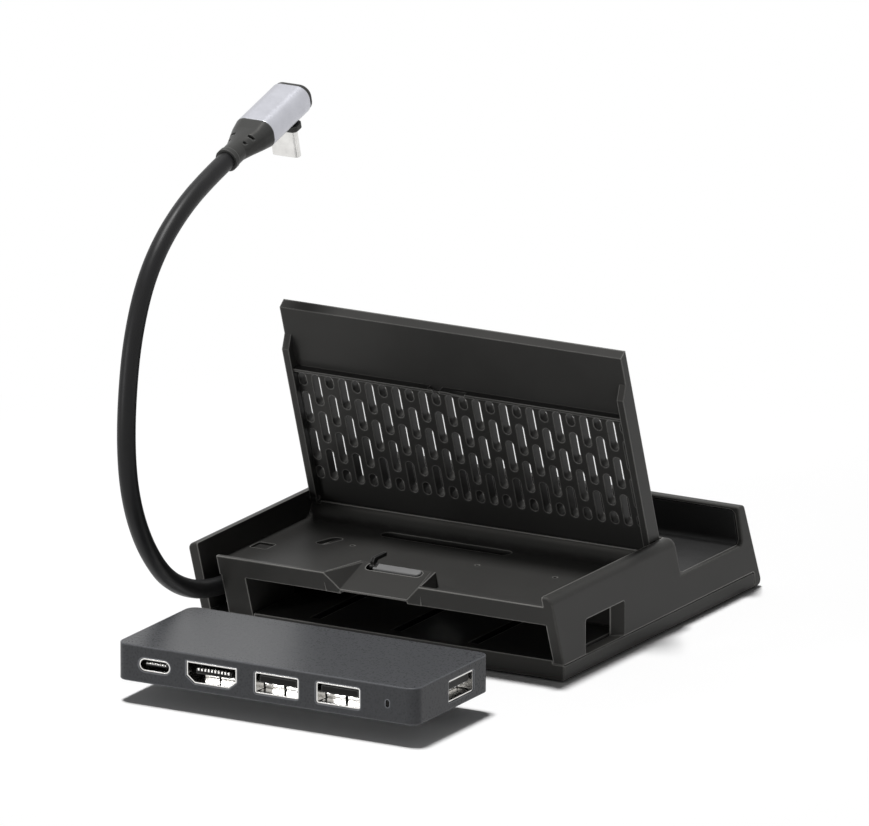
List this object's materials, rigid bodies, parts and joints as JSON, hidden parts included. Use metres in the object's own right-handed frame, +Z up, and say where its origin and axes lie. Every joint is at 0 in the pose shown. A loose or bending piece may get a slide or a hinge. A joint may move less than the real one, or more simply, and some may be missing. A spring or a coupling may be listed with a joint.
{
  "type": "handheld console dock",
  "caption": "Desk dock for a handheld console: raked trough, folding slotted vent panel with a slide latch, flexible lead with an angled plug, and a socket hub that slides out of its bay.",
  "frame": {"origin": "centre of the dock's footprint on the desk, at the underside of its rubber ring", "axes": "+X along the dock's width, -Y towards the port side with the hub, +Z up"},
  "size_m": [0.1096, 0.1776, 0.1394],
  "materials": {
    "housing_plastic": "fine matt moulded grain",
    "panel_plastic": "smooth matt moulding",
    "liner_rubber": "soft matt lining",
    "foot_rubber": "matt rubber",
    "dark_steel": "blackened",
    "bright_steel": "bright drawn sheet",
    "slider_plastic": "matt grey moulding",
    "hub_plastic": "fine grain",
    "board_laminate": "green lacquer",
    "light_pipe": "smoked",
    "black_moulding": "satin moulding",
    "lead_jacket": "satin jacket",
    "plug_aluminium": "fine blasted and anodised",
    "contact_plastic": "black moulding"
  },
  "bodies": {
    "base": {"upper_housing": "housing_plastic", "bottom_cover": "housing_plastic", "trough_liner": "liner_rubber", "foot_ring": "foot_rubber", "cover_screws": "dark_steel", "hinge_pins": "bright_steel", "inner_plug_body": "black_moulding", "inner_plug_tip": "bright_steel", "cable": "lead_jacket", "strain_relief": "black_moulding", "plug_body": "plug_aluminium", "plug_end_cap": "black_moulding", "plug_collar": "black_moulding", "plug_tip": "bright_steel"},
    "panel": {"back_panel": "panel_plastic"},
    "latch": {"latch_slider": "slider_plastic", "latch_hook": "black_moulding"},
    "hub": {"hub_case": "hub_plastic", "hub_base": "hub_plastic", "hub_board": "board_laminate", "status_light": "light_pipe", "oval_socket_shell": "bright_steel", "oval_socket_tongue": "contact_plastic", "video_socket_shell": "bright_steel", "video_socket_tongue": "contact_plastic", "rear_socket_shell": "bright_steel", "rear_socket_tongue": "contact_plastic", "data_socket_side_shell": "bright_steel", "data_socket_side_tongue": "contact_plastic", "data_socket_left_shell": "bright_steel", "data_socket_left_tongue": "contact_plastic", "data_socket_right_shell": "bright_steel", "data_socket_right_tongue": "contact_plastic"}
  },
  "joints": [
    {"name": "panel_fold", "type": "hinge", "parent": "base", "child": "panel", "pos_m": [0, 0.0005, 0.0226], "axis": [1, 0, 0], "range_deg": [0, 71.5]},
    {"name": "latch_slide", "type": "slide", "parent": "base", "child": "latch", "axis": [-1, 0, 0], "range_m": [0, 0.0018]},
    {"name": "hub_slide", "type": "slide", "parent": "base", "child": "hub", "axis": [0, 1, 0], "range_m": [0, 0.0685]}
  ]
}
